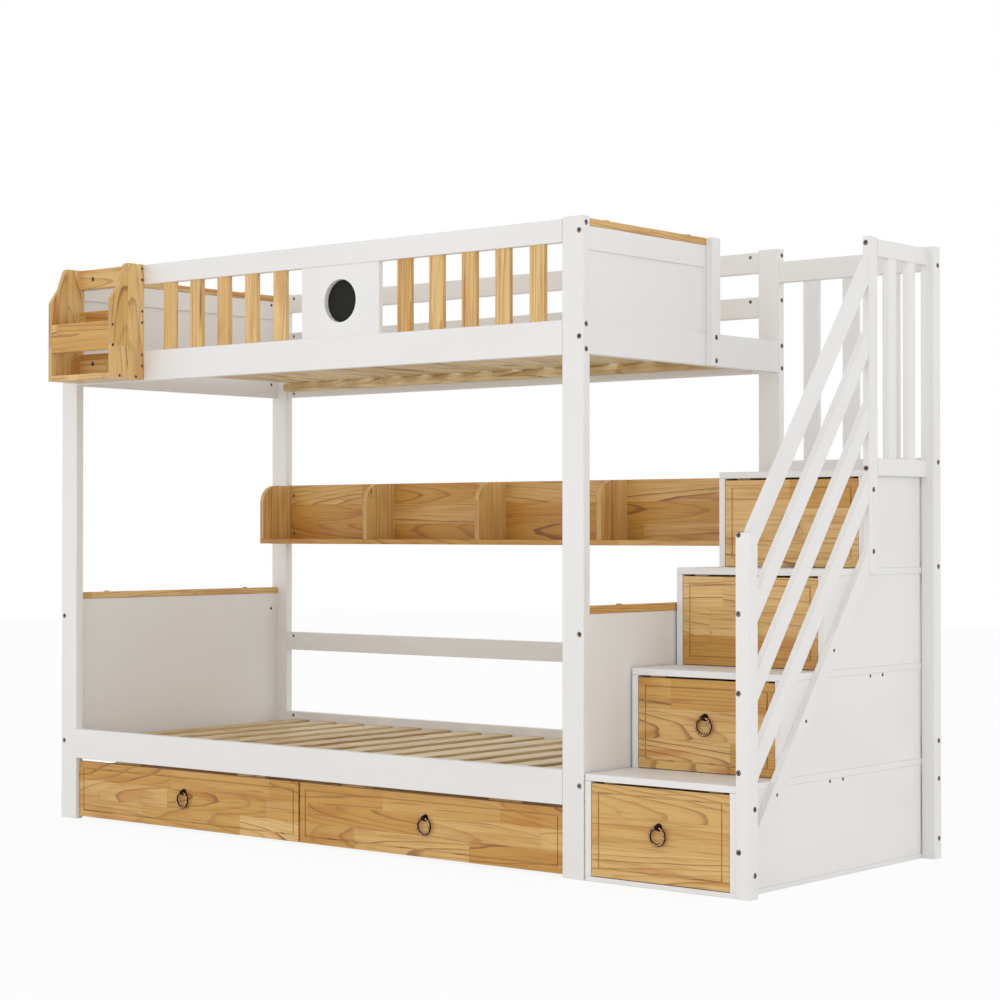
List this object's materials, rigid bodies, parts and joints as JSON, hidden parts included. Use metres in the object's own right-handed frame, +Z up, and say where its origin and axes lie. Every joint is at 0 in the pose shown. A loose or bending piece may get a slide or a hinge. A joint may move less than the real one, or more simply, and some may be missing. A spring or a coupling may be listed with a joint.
{
  "type": "bunk bed with storage stairs",
  "caption": "Bunk bed with white frame, pine guard slats and shelves, drawers under the lower bed, and box stairs with drawers and handrails.",
  "frame": {"origin": "on the floor, under the middle of the whole object's box", "axes": "+X along the bed towards the stairs, +Y from the front to the wall side, +Z up"},
  "size_m": [2.561, 1.0784, 1.704],
  "materials": {
    "white_pine": "satin white paint on solid pine",
    "white_board": "smooth satin white paint on fibreboard",
    "honey_pine": "clear satin lacquer on finger-jointed pine",
    "slat_pine": "bare planed pine",
    "drawer_box_wood": "bare light plywood",
    "black_disc": "matt black board",
    "antique_bronze": "antique bronze, rubbed bright on the edges",
    "bronze_bolts": "dark bronze plating",
    "wheel_plastic": "matt black nylon on steel axles"
  },
  "bodies": {
    "root": {"bedside_shelf_boards": "honey_pine", "bedside_shelf_sides": "honey_pine", "drawer_stops": "white_board", "entry_post": "white_pine", "entry_rail": "white_pine", "frame_bolts": "bronze_bolts", "guard_rail_front": "white_pine", "guard_rails_back": "white_pine", "guard_slats_front": "honey_pine", "headboard_caps": "honey_pine", "landing_rails": "white_pine", "landing_slats": "white_pine", "lower_bed_slats": "slat_pine", "lower_headboards": "white_board", "lower_side_rails": "white_pine", "porthole_disc": "black_disc", "porthole_panel": "white_board", "posts_back": "white_pine", "posts_front": "white_pine", "slat_ledgers": "slat_pine", "stair_back_panels": "white_board", "stair_handrails": "white_pine", "stair_landing_posts": "white_pine", "stair_newel_post": "white_pine", "stair_side_panels": "white_board", "stair_treads": "white_board", "upper_bed_slats": "slat_pine", "upper_end_panel_right": "white_board", "upper_headboard_left": "white_board", "upper_side_rails": "white_pine", "wall_shelf_boards": "honey_pine", "wall_shelf_dividers": "honey_pine"},
    "bed_drawer_left": {"bed_drawer_left_front": "honey_pine", "bed_drawer_left_box": "drawer_box_wood", "bed_drawer_left_ring_mount": "antique_bronze"},
    "bed_drawer_left_ring": {"bed_drawer_left_ring": "antique_bronze"},
    "bed_drawer_right": {"bed_drawer_right_front": "honey_pine", "bed_drawer_right_box": "drawer_box_wood", "bed_drawer_right_ring_mount": "antique_bronze"},
    "bed_drawer_right_ring": {"bed_drawer_right_ring": "antique_bronze"},
    "stair_drawer_1": {"stair_drawer_1_front": "honey_pine", "stair_drawer_1_box": "drawer_box_wood", "stair_drawer_1_ring_mount": "antique_bronze"},
    "stair_drawer_1_ring": {"stair_drawer_1_ring": "antique_bronze"},
    "stair_drawer_2": {"stair_drawer_2_front": "honey_pine", "stair_drawer_2_box": "drawer_box_wood", "stair_drawer_2_ring_mount": "antique_bronze"},
    "stair_drawer_2_ring": {"stair_drawer_2_ring": "antique_bronze"},
    "stair_drawer_3": {"stair_drawer_3_front": "honey_pine", "stair_drawer_3_box": "drawer_box_wood", "stair_drawer_3_ring_mount": "antique_bronze"},
    "stair_drawer_3_ring": {"stair_drawer_3_ring": "antique_bronze"},
    "stair_drawer_4": {"stair_drawer_4_front": "honey_pine", "stair_drawer_4_box": "drawer_box_wood", "stair_drawer_4_ring_mount": "antique_bronze"},
    "stair_drawer_4_ring": {"stair_drawer_4_ring": "antique_bronze"},
    "bed_drawer_left_wheels_front": {"bed_drawer_left_wheels_front": "wheel_plastic"},
    "bed_drawer_left_wheels_rear": {"bed_drawer_left_wheels_rear": "wheel_plastic"},
    "bed_drawer_right_wheels_front": {"bed_drawer_right_wheels_front": "wheel_plastic"},
    "bed_drawer_right_wheels_rear": {"bed_drawer_right_wheels_rear": "wheel_plastic"}
  },
  "joints": [
    {"name": "bed_drawer_left_slide", "type": "slide", "parent": "root", "child": "bed_drawer_left", "axis": [0, -1, 0], "range_m": [0, 0.6]},
    {"name": "bed_drawer_left_ring_swing", "type": "hinge", "parent": "bed_drawer_left", "child": "bed_drawer_left_ring", "pos_m": [-0.7315, -0.4068, 0.1155], "axis": [-1, 0, 0], "range_deg": [0, 180]},
    {"name": "bed_drawer_right_slide", "type": "slide", "parent": "root", "child": "bed_drawer_right", "axis": [0, -1, 0], "range_m": [0, 0.6]},
    {"name": "bed_drawer_right_ring_swing", "type": "hinge", "parent": "bed_drawer_right", "child": "bed_drawer_right_ring", "pos_m": [0.2265, -0.4068, 0.1155], "axis": [-1, 0, 0], "range_deg": [0, 180]},
    {"name": "stair_drawer_1_slide", "type": "slide", "parent": "root", "child": "stair_drawer_1", "axis": [0, -1, 0], "range_m": [0, 0.32]},
    {"name": "stair_drawer_1_ring_swing", "type": "hinge", "parent": "stair_drawer_1", "child": "stair_drawer_1_ring", "pos_m": [1.0105, -0.4178, 0.15525], "axis": [-1, 0, 0], "range_deg": [0, 180]},
    {"name": "stair_drawer_2_slide", "type": "slide", "parent": "root", "child": "stair_drawer_2", "axis": [0, -1, 0], "range_m": [0, 0.32]},
    {"name": "stair_drawer_2_ring_swing", "type": "hinge", "parent": "stair_drawer_2", "child": "stair_drawer_2_ring", "pos_m": [1.0105, -0.21455, 0.41575], "axis": [-1, 0, 0], "range_deg": [0, 180]},
    {"name": "stair_drawer_3_slide", "type": "slide", "parent": "root", "child": "stair_drawer_3", "axis": [0, -1, 0], "range_m": [0, 0.32]},
    {"name": "stair_drawer_3_ring_swing", "type": "hinge", "parent": "stair_drawer_3", "child": "stair_drawer_3_ring", "pos_m": [1.0105, -0.0113, 0.67625], "axis": [-1, 0, 0], "range_deg": [0, 180]},
    {"name": "stair_drawer_4_slide", "type": "slide", "parent": "root", "child": "stair_drawer_4", "axis": [0, -1, 0], "range_m": [0, 0.17]},
    {"name": "stair_drawer_4_ring_swing", "type": "hinge", "parent": "stair_drawer_4", "child": "stair_drawer_4_ring", "pos_m": [1.0105, 0.19195, 0.93675], "axis": [-1, 0, 0], "range_deg": [0, 180]},
    {"name": "bed_drawer_left_wheels_front_roll", "type": "hinge", "parent": "bed_drawer_left", "child": "bed_drawer_left_wheels_front", "pos_m": [-0.7315, -0.2948, 0.0153], "axis": [1, 0, 0], "range_deg": [0, 2300]},
    {"name": "bed_drawer_left_wheels_rear_roll", "type": "hinge", "parent": "bed_drawer_left", "child": "bed_drawer_left_wheels_rear", "pos_m": [-0.7315, 0.3292, 0.0153], "axis": [1, 0, 0], "range_deg": [0, 2300]},
    {"name": "bed_drawer_right_wheels_front_roll", "type": "hinge", "parent": "bed_drawer_right", "child": "bed_drawer_right_wheels_front", "pos_m": [0.2265, -0.2948, 0.0153], "axis": [1, 0, 0], "range_deg": [0, 2300]},
    {"name": "bed_drawer_right_wheels_rear_roll", "type": "hinge", "parent": "bed_drawer_right", "child": "bed_drawer_right_wheels_rear", "pos_m": [0.2265, 0.3292, 0.0153], "axis": [1, 0, 0], "range_deg": [0, 2300]}
  ],
  "couplings": [
    {"joint": "bed_drawer_left_wheels_front_roll", "follows": "bed_drawer_left_slide", "rad_per_m": 66.667},
    {"joint": "bed_drawer_left_wheels_rear_roll", "follows": "bed_drawer_left_slide", "rad_per_m": 66.667},
    {"joint": "bed_drawer_right_wheels_front_roll", "follows": "bed_drawer_right_slide", "rad_per_m": 66.667},
    {"joint": "bed_drawer_right_wheels_rear_roll", "follows": "bed_drawer_right_slide", "rad_per_m": 66.667}
  ]
}
